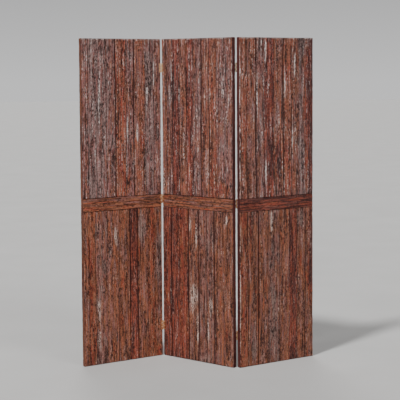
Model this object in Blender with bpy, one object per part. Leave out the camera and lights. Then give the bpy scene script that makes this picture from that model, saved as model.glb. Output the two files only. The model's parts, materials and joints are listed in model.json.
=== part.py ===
"""Folding room divider screen: three wooden panels joined by narrow brass hinges.

Units are metres and +Z is up. The front of the screen faces -Y, and the origin is on the floor
under the middle of the screen's box. Each panel is a light frame with a plywood skin on each
face. Rough vertical staves and one horizontal band cover both skins. The hinges are screwed onto
the panels' faces, on the front at the left fold and on the back at the right one, so the screen
stands zigzag and folds flat like a fan.

A panel's own coordinates: X runs along its width from its left edge, Y through its thickness
from its front face, and Z is its height.
"""

import math
import random

import bmesh
import bpy
from mathutils import Matrix, Vector

INCH = 0.0254

# Driving dimensions
PANEL_WIDTH = 20 * INCH
PANEL_HEIGHT = 72 * INCH
FOLD_ANGLE = math.radians(36)    # turn of each panel away from the wall line
AIR = 0.0003                     # gap between touching pieces

# Layers of one panel, from a face inwards
STAVE_DEPTH = 0.0045
SKIN_DEPTH = 0.0024
FRAME_DEPTH = 0.012
PANEL_DEPTH = 2 * (STAVE_DEPTH + SKIN_DEPTH + 2 * AIR) + FRAME_DEPTH

# Frame
STILE_WIDTH = 0.045
END_RAIL_WIDTH = 0.060
SKIN_INSET = 0.002               # the skins stop short of the panel's top and bottom

# Cladding
BAND_BOTTOM = 0.868
BAND_HEIGHT = 0.072
BAND_STRIPS = (25, 19, 28)       # heights of the stacked strips, in shares
SEAM_DEPTH = 0.0030              # depth of the V between two staves
SEAM_HALF_WIDTH = 0.0012
FACE_VARIATION = 0.0011          # how far a stave may lie behind the proudest one

# Stave widths across each field, in shares of the panel's width
STAVE_WIDTHS = {
    "left_front_upper": (40, 50, 62, 60, 66, 53, 73, 54, 50),
    "left_front_lower": (35, 42, 73, 73, 73, 52, 68, 46, 46),
    "middle_front_upper": (36, 42, 52, 50, 46, 60, 58, 50, 64, 50),
    "middle_front_lower": (63, 60, 64, 76, 56, 56, 66, 67),
    "right_front_upper": (52, 61, 54, 65, 66, 57, 54, 69, 30),
    "right_front_lower": (55, 70, 69, 77, 69, 54, 58, 56),
    "left_back_upper": (58, 47, 66, 52, 71, 49, 60, 55, 50),
    "left_back_lower": (66, 54, 62, 70, 48, 73, 59, 76),
    "middle_back_upper": (45, 61, 57, 70, 50, 66, 48, 59, 52),
    "middle_back_lower": (52, 74, 60, 46, 68, 72, 57, 79),
    "right_back_upper": (62, 50, 55, 68, 47, 64, 58, 51, 53),
    "right_back_lower": (71, 49, 65, 76, 54, 61, 69, 63),
}

# Hinges, each with two narrow leaves that lie on the panels' faces
EDGE_GAP = 0.0030                # between two panels when the screen is laid flat
PIN_OFFSET = 0.0037              # from a panel's face to the pin's axis
HINGE_LENGTH = 2 * INCH
HINGE_CENTRES = {"bottom": 0.178, "middle": 0.914, "top": 1.664}
LEAF_THICKNESS = 0.0016
LEAF_WIDTH = 0.5 * INCH          # from the pin's axis to the leaf's free edge
KNUCKLE_COUNT = 5
KNUCKLE_RADIUS = 0.0033
KNUCKLE_AIR = 0.0004
BORE_RADIUS = 0.0016
PIN_RADIUS = 0.0013
PIN_HEAD_RADIUS = 0.0026
PIN_HEAD_HEIGHT = 0.0016
PIN_TIP = 0.0008                 # of the pin below the last knuckle
SCREW_HEAD_RADIUS = 0.0021
SCREW_SHANK_RADIUS = 0.0012
SCREW_ACROSS = 0.0084            # from the pin's axis to the line of screws
SCREW_HEIGHTS = (0.0070, 0.0254, 0.0438)    # up the leaf
ROUND_STEPS = 16
SCREW_STEPS = 10

COLOURS = {                      # base colour, roughness, metallic
    "frame_wood": ((0.060, 0.018, 0.014), 0.75, 0.0),
    "plywood": ((0.230, 0.120, 0.070), 0.80, 0.0),
    "upper_staves": ((0.180, 0.082, 0.064), 0.85, 0.0),
    "lower_staves": ((0.165, 0.062, 0.042), 0.85, 0.0),
    "band_wood": ((0.150, 0.048, 0.030), 0.80, 0.0),
    "brass": ((0.620, 0.420, 0.180), 0.35, 1.0),
}


def clear_scene():
    for item in list(bpy.data.objects):
        bpy.data.objects.remove(item, do_unlink=True)


def make_materials():
    """One Principled material for each finish."""
    made = {}
    for name, (colour, roughness, metallic) in COLOURS.items():
        material = bpy.data.materials.new(name)
        material.use_nodes = True
        shader = material.node_tree.nodes["Principled BSDF"]
        shader.inputs["Base Color"].default_value = (*colour, 1.0)
        shader.inputs["Roughness"].default_value = roughness
        shader.inputs["Metallic"].default_value = metallic
        material.diffuse_color = (*colour, 1.0)
        made[name] = material
    return made


def add_object(name, mesh, datum, offset, material):
    """Link a mesh as a named sub-part, placed at an offset from its datum."""
    piece = bpy.data.objects.new(name, mesh)
    bpy.context.scene.collection.objects.link(piece)
    piece.parent = datum
    piece.location = offset
    if not mesh.materials:
        mesh.materials.append(material)
    return piece


def add_datum(name, place, turn):
    """An empty that carries a panel: it lies on the axis that the panel folds about."""
    datum = bpy.data.objects.new(name, None)
    bpy.context.scene.collection.objects.link(datum)
    datum.location = place
    datum.rotation_euler = (0.0, 0.0, turn)
    return datum


def prism_mesh(name, outline, along, low, high):
    """A closed prism: an outline swept straight from low to high along X or Z.

    Along Z, the outline's points are (x, y). Along X, they are (z, y).
    """
    shape = bmesh.new()
    if along == "Z":
        points = [Vector((a, b, low)) for a, b in outline]
        sweep = Vector((0.0, 0.0, high - low))
    else:
        points = [Vector((low, b, a)) for a, b in outline]
        sweep = Vector((high - low, 0.0, 0.0))
    cap = shape.faces.new([shape.verts.new(point) for point in points])
    swept = bmesh.ops.extrude_face_region(shape, geom=[cap])
    moved = [item for item in swept["geom"] if isinstance(item, bmesh.types.BMVert)]
    bmesh.ops.translate(shape, verts=moved, vec=sweep)
    bmesh.ops.recalc_face_normals(shape, faces=shape.faces)
    mesh = bpy.data.meshes.new(name)
    shape.to_mesh(mesh)
    shape.free()
    return mesh


def rectangle(low, high):
    return [(low[0], low[1]), (high[0], low[1]), (high[0], high[1]), (low[0], high[1])]


def clad_outline(shares, span, seed, low=0.0):
    """Section of a clad field: strips side by side with a V between each two.

    Returns (place across the strips, depth from the panel's face) points. The first and the last
    strip are the proudest, each other one lies at its own small depth, and the field's back is
    flat.
    """
    draw = random.Random(seed)
    scale = span / sum(shares)
    points = [(low, STAVE_DEPTH)]
    edge = low
    for index, share in enumerate(shares):
        last = index == len(shares) - 1
        face = 0.0 if index == 0 or last else draw.uniform(0.0, FACE_VARIATION)
        start = edge if index == 0 else edge + SEAM_HALF_WIDTH
        edge += share * scale
        points.append((start, face))
        points.append((edge if last else edge - SEAM_HALF_WIDTH, face))
        if not last:
            points.append((edge, SEAM_DEPTH))
    points.append((low + span, STAVE_DEPTH))
    return points


def place_on_side(outline, side):
    """Turn depths from the front face into panel coordinates on the front or the back side."""
    if side == "front":
        return outline
    return [(across, PANEL_DEPTH - depth) for across, depth in outline]


def build_frame(panel, datum, offset, materials):
    """Two stiles over the full height and three rails between them."""
    low_y = STAVE_DEPTH + SKIN_DEPTH + 2 * AIR
    high_y = low_y + FRAME_DEPTH
    wood = materials["frame_wood"]
    stiles = {"left_stile": 0.0, "right_stile": PANEL_WIDTH - STILE_WIDTH}
    for part, low_x in stiles.items():
        outline = rectangle((low_x, low_y), (low_x + STILE_WIDTH, high_y))
        mesh = prism_mesh(part, outline, "Z", 0.0, PANEL_HEIGHT)
        add_object(f"{panel}_{part}", mesh, datum, offset, wood)
    rails = {
        "bottom_rail": (0.0, END_RAIL_WIDTH),
        "middle_rail": (BAND_BOTTOM, BAND_BOTTOM + BAND_HEIGHT),
        "top_rail": (PANEL_HEIGHT - END_RAIL_WIDTH, PANEL_HEIGHT),
    }
    for part, (low_z, high_z) in rails.items():
        low_x = STILE_WIDTH + AIR
        outline = rectangle((low_x, low_y), (PANEL_WIDTH - low_x, high_y))
        mesh = prism_mesh(part, outline, "Z", low_z, high_z)
        add_object(f"{panel}_{part}", mesh, datum, offset, wood)


def build_skins(panel, datum, offset, materials):
    """A thin plywood sheet on each face of the frame."""
    low_y = STAVE_DEPTH + AIR
    for side in ("front", "back"):
        outline = place_on_side(rectangle((0.0, low_y), (PANEL_WIDTH, low_y + SKIN_DEPTH)), side)
        mesh = prism_mesh(f"{side}_skin", outline, "Z", SKIN_INSET, PANEL_HEIGHT - SKIN_INSET)
        add_object(f"{panel}_{side}_skin", mesh, datum, offset, materials["plywood"])


def build_cladding(panel, datum, offset, materials):
    """On each side, staves below and above one horizontal band of stacked strips."""
    fields = {
        "lower": (0.0, BAND_BOTTOM - AIR),
        "upper": (BAND_BOTTOM + BAND_HEIGHT + AIR, PANEL_HEIGHT),
    }
    for side in ("front", "back"):
        for field, (low_z, high_z) in fields.items():
            key = f"{panel}_{side}_{field}"
            outline = place_on_side(clad_outline(STAVE_WIDTHS[key], PANEL_WIDTH, key), side)
            mesh = prism_mesh(key, outline, "Z", low_z, high_z)
            add_object(f"{key}_staves", mesh, datum, offset, materials[f"{field}_staves"])
        key = f"{panel}_{side}_band"
        outline = place_on_side(clad_outline(BAND_STRIPS, BAND_HEIGHT, key, BAND_BOTTOM), side)
        mesh = prism_mesh(key, outline, "X", 0.0, PANEL_WIDTH)
        add_object(key, mesh, datum, offset, materials["band_wood"])


def build_panel(panel, datum, offset, materials):
    build_frame(panel, datum, offset, materials)
    build_skins(panel, datum, offset, materials)
    build_cladding(panel, datum, offset, materials)


def box_object(name, low, high):
    mesh = prism_mesh(name, rectangle(low[:2], high[:2]), "Z", low[2], high[2])
    return add_scratch(name, mesh)


def cone_object(name, low_radius, high_radius, depth, steps, matrix):
    """A cylinder or a cone, centred on its axis along Z before the matrix is applied."""
    shape = bmesh.new()
    bmesh.ops.create_cone(shape, cap_ends=True, segments=steps, radius1=low_radius,
                          radius2=high_radius, depth=depth, matrix=matrix)
    mesh = bpy.data.meshes.new(name)
    shape.to_mesh(mesh)
    shape.free()
    return add_scratch(name, mesh)


def add_scratch(name, mesh):
    """A helper object that is combined into a leaf and then removed."""
    item = bpy.data.objects.new(name, mesh)
    item.display_type = "WIRE"
    item.hide_render = True
    bpy.context.scene.collection.objects.link(item)
    return item


def combined_mesh(name, base, steps):
    """Apply unions and differences in order, and return the result as one mesh."""
    for other, operation in steps:
        change = base.modifiers.new(other.name, "BOOLEAN")
        change.object = other
        change.operation = operation
        change.solver = "EXACT"
    graph = bpy.context.evaluated_depsgraph_get()
    mesh = bpy.data.meshes.new_from_object(base.evaluated_get(graph))
    mesh.name = name
    for item in [base] + [other for other, _ in steps]:
        bpy.data.objects.remove(item, do_unlink=True)
    return mesh


def leaf_mesh(name, side, knuckles):
    """One hinge leaf, with the pin's axis along Z through the origin.

    side is -1 for the leaf on the left of the pin and 1 for the right one. The plate lies on a
    panel's face, and the panel is on the +Y side of the pin. Each knuckle of the other leaf has
    its space cut out of the plate and the barrel.
    """
    high_y = PIN_OFFSET - AIR
    low_y = high_y - LEAF_THICKNESS
    low_x, high_x = sorted((0.0, side * LEAF_WIDTH))
    plate = box_object("plate", (low_x, low_y, 0.0), (high_x, high_y, HINGE_LENGTH))
    middle = Matrix.Translation((0.0, 0.0, HINGE_LENGTH / 2))
    barrel = cone_object("barrel", KNUCKLE_RADIUS, KNUCKLE_RADIUS, HINGE_LENGTH, ROUND_STEPS, middle)
    steps = [(barrel, "UNION")]
    pitch = HINGE_LENGTH / KNUCKLE_COUNT
    reach = PIN_OFFSET + KNUCKLE_AIR
    for index in range(KNUCKLE_COUNT):
        if index in knuckles:
            continue
        low_z = -reach if index == 0 else index * pitch - KNUCKLE_AIR / 2
        end = index == KNUCKLE_COUNT - 1
        high_z = HINGE_LENGTH + reach if end else (index + 1) * pitch + KNUCKLE_AIR / 2
        space = box_object(f"space_{index}", (-reach, -reach, low_z), (reach, reach, high_z))
        steps.append((space, "DIFFERENCE"))
    bore = cone_object("bore", BORE_RADIUS, BORE_RADIUS, 2 * HINGE_LENGTH, ROUND_STEPS, middle)
    steps.append((bore, "DIFFERENCE"))
    for number, up in enumerate(SCREW_HEIGHTS):
        centre = (side * SCREW_ACROSS, (low_y + high_y) / 2, up)
        steps.append((countersink(f"screw_{number}", centre), "DIFFERENCE"))
    mesh = combined_mesh(name, plate, steps)
    mesh.shade_smooth()
    mesh.set_sharp_from_angle(angle=math.radians(40))
    return mesh


def countersink(name, centre):
    """A tapered screw hole through the plate, wide on the side that faces away from the panel."""
    overrun = 0.25
    slope = (SCREW_HEAD_RADIUS - SCREW_SHANK_RADIUS) * overrun
    lay_along_y = Matrix.Translation(centre) @ Matrix.Rotation(math.radians(90), 4, "X")
    return cone_object(name, SCREW_SHANK_RADIUS - slope, SCREW_HEAD_RADIUS + slope,
                       LEAF_THICKNESS * (1 + 2 * overrun), SCREW_STEPS, lay_along_y)


def pin_mesh():
    """The hinge pin, turned about Z: a plain shank with a domed head and a chamfered tip."""
    head = HINGE_LENGTH + AIR
    chamfer = PIN_RADIUS * 0.3
    profile = [
        (0.0, -PIN_TIP), (PIN_RADIUS - chamfer, -PIN_TIP), (PIN_RADIUS, -PIN_TIP + chamfer),
        (PIN_RADIUS, head), (PIN_HEAD_RADIUS, head),
    ]
    dome_steps = 4
    for step in range(1, dome_steps + 1):
        angle = math.radians(90) * step / dome_steps
        profile.append((PIN_HEAD_RADIUS * math.cos(angle), head + PIN_HEAD_HEIGHT * math.sin(angle)))
    shape = bmesh.new()
    line = [shape.verts.new((max(radius, 0.0), 0.0, height)) for radius, height in profile]
    edges = [shape.edges.new(pair) for pair in zip(line, line[1:])]
    bmesh.ops.spin(shape, geom=line + edges, cent=(0, 0, 0), axis=(0, 0, 1),
                   angle=math.radians(360), steps=ROUND_STEPS, use_merge=True)
    bmesh.ops.remove_doubles(shape, verts=shape.verts, dist=0.00001)
    bmesh.ops.recalc_face_normals(shape, faces=shape.faces)
    mesh = bpy.data.meshes.new("pin")
    shape.to_mesh(mesh)
    shape.free()
    mesh.shade_smooth()
    mesh.set_sharp_from_angle(angle=math.radians(40))
    return mesh


def build_hinges(fold, left_datum, right_datum, turned, meshes, brass):
    """Three hinges on one fold. turned puts the knuckles on the back of the panels.

    The leaf with three knuckles is on the pin's left before the half turn. The pin stays in the
    middle panel's leaf.
    """
    half_turn = Matrix.Rotation(math.radians(180) if turned else 0.0, 4, "Z")
    odd_side, even_side = ("right", "left") if turned else ("left", "right")
    datums = {"left": left_datum, "right": right_datum}
    for level, centre in HINGE_CENTRES.items():
        low = Matrix.Translation((0.0, 0.0, centre - HINGE_LENGTH / 2))
        hinge = f"{fold}_fold_{level}_hinge"
        pieces = {
            f"{odd_side}_leaf": ("odd_leaf", datums[odd_side]),
            f"{even_side}_leaf": ("even_leaf", datums[even_side]),
            "pin": ("pin", left_datum if turned else right_datum),
        }
        for part, (mesh, (datum, pin_place)) in pieces.items():
            piece = add_object(f"{hinge}_{part}", meshes[mesh], datum, (0, 0, 0), brass)
            piece.matrix_local = Matrix.Translation(pin_place) @ low @ half_turn


def screen_layout():
    """Places of the two pin axes and the three panels, with the origin under the box's middle."""
    left_pin = Vector((0.0, 0.0, 0.0))
    right_pin_in_middle = Vector((PANEL_WIDTH + EDGE_GAP, 2 * PIN_OFFSET + PANEL_DEPTH, 0.0))
    right_pin = Matrix.Rotation(-FOLD_ANGLE, 3, "Z") @ right_pin_in_middle
    layout = {                   # pin that the panel's datum lies on, turn, panel's corner from it
        "left": (left_pin, FOLD_ANGLE, (-EDGE_GAP / 2 - PANEL_WIDTH, PIN_OFFSET, 0.0)),
        "middle": (left_pin, -FOLD_ANGLE, (EDGE_GAP / 2, PIN_OFFSET, 0.0)),
        "right": (right_pin, FOLD_ANGLE, (EDGE_GAP / 2, -PIN_OFFSET - PANEL_DEPTH, 0.0)),
    }
    corners = []
    for pin, turn, offset in layout.values():
        for across in (0.0, PANEL_WIDTH):
            for depth in (0.0, PANEL_DEPTH):
                corner = Vector(offset) + Vector((across, depth, 0.0))
                corners.append(pin + Matrix.Rotation(turn, 3, "Z") @ corner)
    centre = Vector((0.0, 0.0, 0.0))
    for axis in (0, 1):
        values = [corner[axis] for corner in corners]
        centre[axis] = (min(values) + max(values)) / 2
    return {name: (pin - centre, turn, offset) for name, (pin, turn, offset) in layout.items()}, \
        right_pin_in_middle


def build_screen():
    clear_scene()
    materials = make_materials()
    layout, right_pin_in_middle = screen_layout()
    datums = {}
    for panel, (pin, turn, offset) in layout.items():
        datums[panel] = add_datum(f"{panel}_panel_axis", pin, turn)
        build_panel(panel, datums[panel], offset, materials)
    bpy.context.view_layer.update()
    meshes = {
        "odd_leaf": leaf_mesh("odd_leaf", -1, (0, 2, 4)),
        "even_leaf": leaf_mesh("even_leaf", 1, (1, 3)),
        "pin": pin_mesh(),
    }
    on_pin = Vector((0.0, 0.0, 0.0))
    build_hinges("left", (datums["left"], on_pin), (datums["middle"], on_pin),
                 False, meshes, materials["brass"])
    build_hinges("right", (datums["middle"], right_pin_in_middle), (datums["right"], on_pin),
                 True, meshes, materials["brass"])


build_screen()
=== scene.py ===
"""Looks of the folding room divider screen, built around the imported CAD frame.

Every board is its own closed mesh, made in its own coordinates: X runs across the grain, Y is the
depth (its face looks along -Y) and Z runs along the grain. Its object's matrix turns that into
place on a panel, so one builder and one kind of wood material serve staves, strips and frame.
"""

import json
import math
import random
from dataclasses import dataclass
from typing import Callable

import bmesh
import bpy
import numpy as np
from mathutils import Matrix, Vector


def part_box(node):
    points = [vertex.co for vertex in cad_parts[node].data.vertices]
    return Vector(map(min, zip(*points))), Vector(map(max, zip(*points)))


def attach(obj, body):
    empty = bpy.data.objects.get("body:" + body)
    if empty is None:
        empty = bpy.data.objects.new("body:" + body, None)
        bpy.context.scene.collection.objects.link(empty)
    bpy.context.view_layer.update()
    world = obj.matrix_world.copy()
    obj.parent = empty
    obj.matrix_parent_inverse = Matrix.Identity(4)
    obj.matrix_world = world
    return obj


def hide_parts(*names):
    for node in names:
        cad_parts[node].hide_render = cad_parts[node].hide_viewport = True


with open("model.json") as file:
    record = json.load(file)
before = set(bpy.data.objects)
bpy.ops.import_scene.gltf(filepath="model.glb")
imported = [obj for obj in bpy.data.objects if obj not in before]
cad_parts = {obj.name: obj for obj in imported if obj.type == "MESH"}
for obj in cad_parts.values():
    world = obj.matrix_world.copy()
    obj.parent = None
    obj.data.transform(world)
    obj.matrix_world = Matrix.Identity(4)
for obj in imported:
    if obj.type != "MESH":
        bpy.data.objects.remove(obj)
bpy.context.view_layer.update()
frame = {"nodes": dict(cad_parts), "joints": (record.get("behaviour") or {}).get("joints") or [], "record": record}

MM = 0.001
PANELS = ("left", "middle", "right")
SIDES = ("front", "back")

# Mesh spacing on a board's face, across and along its grain, and across the hidden skins
STEP_ACROSS = 1.3 * MM
STEP_ALONG = 3.0 * MM
SKIN_STEP = 8 * MM

# Relief of weathered wood: its threads and the dashes that break them up, each a strength with
# a width and a length in millimetres, and how deep crests, torn layers, swells and splits are
THREADS = ((0.42, 9.5, 190), (0.42, 4.6, 80), (0.24, 2.4, 30))
DASHES = ((0.50, 6.0, 12.5), (0.45, 3.2, 8.0))
CREST_DEPTH = 2.1 * MM
LAYER_DEPTH = 0.26 * MM
SWELL_DEPTH = 0.20 * MM
SPLIT_DEPTH = 1.6 * MM
SHADE_DEPTH = 1.3 * MM           # of a mark that is a dark hollow
KNOT_RISE = 0.5 * MM
END_DROP = 0.9 * MM              # of a board's face at its very end
SIDE_SHADE_WIDTH = 1.5 * MM           # width of the painted shade along a board's sides

# Noises in the wood material: how many of their cells there are in a metre across the grain,
# into the wood and along the grain, then their detail and roughness
GRAIN_NOISES = {
    "streaks": (420, 60, 16, 4.0, 0.6), "specks": (320, 200, 125, 2.0, 0.75),
    "fibre": (1000, 250, 26, 3.0, 0.65), "broad": (26, 20, 5, 2.0, 0.5),
    "hues": (110, 60, 9, 2.0, 0.6), "patch": (36, 20, 8, 3.0, 0.6),
    "ridges": (120, 60, 4.5, 1.0, 0.5), "flakes": (190, 110, 70, 2.0, 0.65),
    "painted_glints": (260, 120, 85, 2.0, 0.6),
}
BUMP_DEPTH = 2.3 * MM
KNOT_COLOUR = (0.20, 0.062, 0.026)

# Colours of old stained wood, in the order that one fades into the next
STAINS = {
    "grey": (0.150, 0.098, 0.083), "mauve": (0.172, 0.066, 0.055),
    "brown": (0.145, 0.059, 0.033), "orange": (0.215, 0.074, 0.036),
    "scarlet": (0.190, 0.036, 0.019), "red": (0.150, 0.040, 0.026),
    "dark": (0.075, 0.024, 0.019),
}
TONE_PLACE = {name: index / (len(STAINS) - 1) for index, name in enumerate(STAINS)}
LETTER_PLACE = {name[0]: place for name, place in TONE_PLACE.items()}

# How much lighter a panel's staves are painted than the others', from -0.5 to 0.5: painted light for how the lamps
# fall on each panel
PANEL_PAINTED_LIGHT = {"left": 0.32, "middle": -0.10, "right": -0.20}

# Each front field of staves: the main colour of each stave from the left, as the first letter
# of its tone, where seams stand wide open, and its other marks. A mark is a kind,
# how far from the panel's left edge and above the ground its middle is, and half its width and
# height. bleach is wood worn pale, shade is a dark hollow, knot is a knot, and the others are
# patches of a tone. Places and sizes are in millimetres.
FRONT_FIELDS = {
    "left_front_upper": ("mggmombgm", (212, 331), (
        ("bleach", 109, 1500, 7, 170), ("grey", 73, 1740, 12, 100), ("grey", 165, 1620, 16, 190),
        ("bleach", 289, 1320, 6, 90), ("bleach", 350, 1300, 7, 55), ("bleach", 416, 1510, 8, 60),
        ("bleach", 461, 1640, 5, 90), ("scarlet", 298, 1020, 14, 70), ("scarlet", 378, 1250, 17, 120),
        ("bleach", 505, 1120, 3, 170),
        ("shade", 214, 1350, 3, 480), ("shade", 331, 1350, 3, 320))),
    "left_front_lower": ("bombbrbob", (296, 348), (
        ("bleach", 208, 720, 12, 55), ("bleach", 96, 330, 13, 90), ("bleach", 92, 140, 12, 60),
        ("grey", 380, 770, 30, 120), ("grey", 487, 560, 18, 330), ("orange", 485, 30, 18, 40),
        ("orange", 268, 557, 10, 16), ("knot", 268, 557, 7, 7), ("knot", 394, 245, 6, 6),
        ("shade", 296, 450, 3, 400))),
    "middle_front_upper": ("bmrbrmbomm", (78, 286), (
        ("bleach", 73, 1600, 7, 110), ("shade", 88, 1540, 5, 240), ("bleach", 128, 1510, 6, 80),
        ("bleach", 201, 1690, 5, 110), ("shade", 287, 1300, 7, 190), ("grey", 268, 1370, 12, 90),
        ("bleach", 443, 1560, 5, 90), ("bleach", 482, 1480, 5, 50), ("shade", 125, 1140, 5, 130),
        ("scarlet", 115, 980, 26, 55), ("scarlet", 425, 990, 60, 50), ("scarlet", 306, 1345, 14, 65),
        ("scarlet", 195, 1040, 34, 90), ("orange", 45, 1150, 20, 150),
        ("bleach", 3, 1180, 3, 230),
        ("knot", 180, 1775, 9, 9), ("knot", 388, 1735, 7, 7))),
    "middle_front_lower": ("rrsbmmbb", (63, 187, 263, 375), (
        ("bleach", 201, 780, 7, 40), ("bleach", 246, 740, 8, 75), ("bleach", 226, 370, 28, 100),
        ("bleach", 350, 330, 15, 50), ("bleach", 329, 200, 8, 85), ("bleach", 250, 190, 10, 90),
        ("bleach", 463, 820, 8, 30), ("scarlet", 136, 700, 32, 140), ("shade", 60, 400, 9, 210),
        ("shade", 185, 450, 9, 280), ("shade", 265, 350, 9, 300), ("shade", 378, 250, 9, 240))),
    # The last stave's dark tone and the wide dark patch at this panel's right edge are painted shade where the
    # light falls off
    "right_front_upper": ("obmrbobgd", (298, 113), (
        ("bleach", 178, 1755, 8, 65), ("bleach", 309, 1600, 5, 110), ("bleach", 303, 1290, 5, 90),
        ("bleach", 363, 1260, 6, 110), ("bleach", 378, 1670, 7, 80), ("bleach", 118, 1500, 5, 130),
        ("bleach", 178, 1100, 6, 100), ("dark", 270, 1160, 22, 170), ("orange", 28, 1200, 20, 250),
        ("dark", 478, 1400, 38, 480), ("bleach", 2, 1370, 4, 520))),
    "right_front_lower": ("obbmbrbb", (125, 452), (
        ("dark", 75, 770, 10, 100), ("orange", 97, 750, 10, 45), ("bleach", 216, 790, 11, 75),
        ("orange", 268, 830, 12, 40), ("grey", 140, 790, 8, 75), ("grey", 238, 230, 30, 200),
        ("grey", 420, 820, 26, 70), ("orange", 10, 113, 9, 14), ("knot", 10, 113, 6, 6),
        # The wide dark patch at the right edge is painted shade where the light falls off
        ("grey", 95, 120, 24, 120), ("dark", 492, 600, 22, 300), ("bleach", 2, 450, 4, 420))),
}
BACK_MARKS = (4 * ("bleach",) + 3 * ("shade",) + 2 * ("grey",) + ("orange", "scarlet", "dark")
              + 2 * ("knot",))
OPEN_SEAM_REACH = 12             # how far from its place an open seam may lie, in millimetres
SEEDS = 1 << 20

# Camera: place, turn about Z to the left, tilt, roll, and the share of the height it is shifted
CAMERA_PLACE = (0.3748, -6.7449, 1.6482)
CAMERA_YAW = math.radians(3.097)
CAMERA_TILT = math.radians(-4.248)
CAMERA_ROLL = math.radians(-0.356)
CAMERA_LENS = 108.46
CAMERA_SHIFT = -0.10

# Hinge sizes that the frame's boxes don't give
PIN_OFFSET = 3.7 * MM            # from a panel's face to the pin's axis
LEAF_AIR = 0.3 * MM              # under the leaf
LEAF_THICKNESS = 1.6 * MM
LEAF_WIDTH = 12.7 * MM           # from the pin's axis to the leaf's free edge
KNUCKLE_COUNT = 5
KNUCKLE_RADIUS = 3.3 * MM
KNUCKLE_AIR = 0.4 * MM
BORE_RADIUS = 1.6 * MM
SCREW_ACROSS = 8.4 * MM          # from the pin's axis to the line of screws
SCREW_HEIGHTS = (7.0 * MM, 25.4 * MM, 43.8 * MM)
ROUND_STEPS = 40
EASED_EDGE = 0.2 * MM
SHARP_ANGLE = math.radians(35)

# How far the brass of each hinge has browned. Below 0 it is brighter than the rest: the top hinges are painted
# brighter as a highlight.
TARNISH_AND_HIGHLIGHT = {"top": -0.3, "middle": 0.85, "bottom": 0.5}

# Lamps: the heading of the light, its strength, and the angle that it fills, in degrees
LAMPS = {
    "key": ((0.50, 0.72, -1.15), 3.4, 7),
    "fill": ((-0.75, 0.75, -0.55), 0.95, 25),
    "rear": ((0.2, -1.0, -0.9), 1.0, 25),
}
FLOOR_RADIUS = 60.0
SURROUND_COLOUR = (0.95, 0.95, 0.955, 1)

# The surround's strength, from just below the horizon up
SURROUND_FADE = {"From Min": -0.01, "From Max": 0.16, "To Min": 0.75, "To Max": 0.30}

# Lays a board along a panel: its own X then runs down, and its own Z across
LYING = Matrix(((0, 0, 1, 0), (0, 1, 0, 0), (-1, 0, 0, 0), (0, 0, 0, 1)))


# -------- noise

def lattice(column, row, seed):
    """A fixed pseudo-random number from -1 to 1 for each whole column and row."""
    mixed = (column.astype(np.uint32) * np.uint32(374761393)
             + row.astype(np.uint32) * np.uint32(668265263)
             + np.uint32((seed * 974634777) & 0xFFFFFFFF))
    mixed = (mixed ^ (mixed >> np.uint32(13))) * np.uint32(1274126177)
    mixed = (mixed ^ (mixed >> np.uint32(15))) * np.uint32(2246822519)
    mixed = mixed ^ (mixed >> np.uint32(16))
    return mixed.astype(np.float64) / 2147483647.5 - 1.0


def noise(across, along, seed):
    """Smooth noise from -1 to 1, one cell per unit each way."""
    across, along = np.broadcast_arrays(across, along)
    column, row = np.floor(across), np.floor(along)
    u, v = across - column, along - row
    u, v = u * u * (3 - 2 * u), v * v * (3 - 2 * v)
    column, row = column.astype(np.int64), row.astype(np.int64)
    low = lattice(column, row, seed) * (1 - u) + lattice(column + 1, row, seed) * u
    high = lattice(column, row + 1, seed) * (1 - u) + lattice(column + 1, row + 1, seed) * u
    return low * (1 - v) + high * v


def layered(across, along, seed):
    """Noise of three sizes, each half as large and half as strong as the one before."""
    total, strength, reach = 0.0, 1.0, 0.0
    for layer in range(3):
        total = total + strength * noise(across * 2 ** layer, along * 2 ** layer, seed + 17 * layer)
        reach += strength
        strength /= 2
    return total / reach


def ramp(value, low, high):
    """0 below low, 1 above high, smooth between."""
    share = np.clip((value - low) / (high - low), 0.0, 1.0)
    return share * share * (3 - 2 * share)


# -------- meshes

def linked(name, data):
    """A new object, in the scene's collection."""
    thing = bpy.data.objects.new(name, data)
    bpy.context.scene.collection.objects.link(thing)
    return thing


def grid_object(name, rings, attributes, matrix, material):
    """A closed board from rings of points round it: rings has the shape (rows, points, 3)."""
    rows, around, _ = rings.shape
    here = np.arange(rows * around).reshape(rows, around)
    there = np.roll(here, -1, 1)
    sides = np.stack([here[:-1], there[:-1], there[1:], here[1:]], -1).reshape(-1)
    loops = np.concatenate([sides, here[0, ::-1], here[-1]])
    sizes = np.array([4] * ((rows - 1) * around) + [around, around])
    mesh = bpy.data.meshes.new(name)
    mesh.vertices.add(rows * around)
    mesh.vertices.foreach_set("co", rings.reshape(-1).astype(np.float32))
    mesh.loops.add(len(loops))
    mesh.loops.foreach_set("vertex_index", loops.astype(np.int32))
    mesh.polygons.add(len(sizes))
    mesh.polygons.foreach_set("loop_start", (np.cumsum(sizes) - sizes).astype(np.int32))
    mesh.update(calc_edges=True)
    for key, values in attributes.items():
        kind, field = ("FLOAT_VECTOR", "vector") if values.ndim == 3 else ("FLOAT", "value")
        layer = mesh.attributes.new(key, kind, "POINT")
        layer.data.foreach_set(field, values.reshape(-1).astype(np.float32))
    mesh.shade_smooth()
    mesh.polygons[-1].use_smooth = mesh.polygons[-2].use_smooth = False
    mesh.materials.append(material)
    piece = linked(name, mesh)
    piece.matrix_world = matrix
    return piece


def grain_space(across, along, seed, knots):
    """Coordinates that follow the wandering grain, which parts to flow around each knot."""
    wander = (5.0 * MM * noise(along / 0.21, across * 0 + 0.5, seed)
              + 1.6 * MM * noise(along / 0.055, across / 0.03, seed + 1))
    eye = 0.0 * across
    for knot_across, knot_along, radius in knots:
        aside, ahead = across - knot_across, (along - knot_along) / 3.2
        apart = np.sqrt(aside ** 2 + ahead ** 2) / radius
        wander = wander - aside * 0.75 * np.exp(-(apart / 1.6) ** 2)
        eye = np.maximum(eye, np.exp(-(apart / 0.75) ** 4))
    offset = (seed % 97) * 0.37
    return across + wander + offset, along + offset, eye


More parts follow.
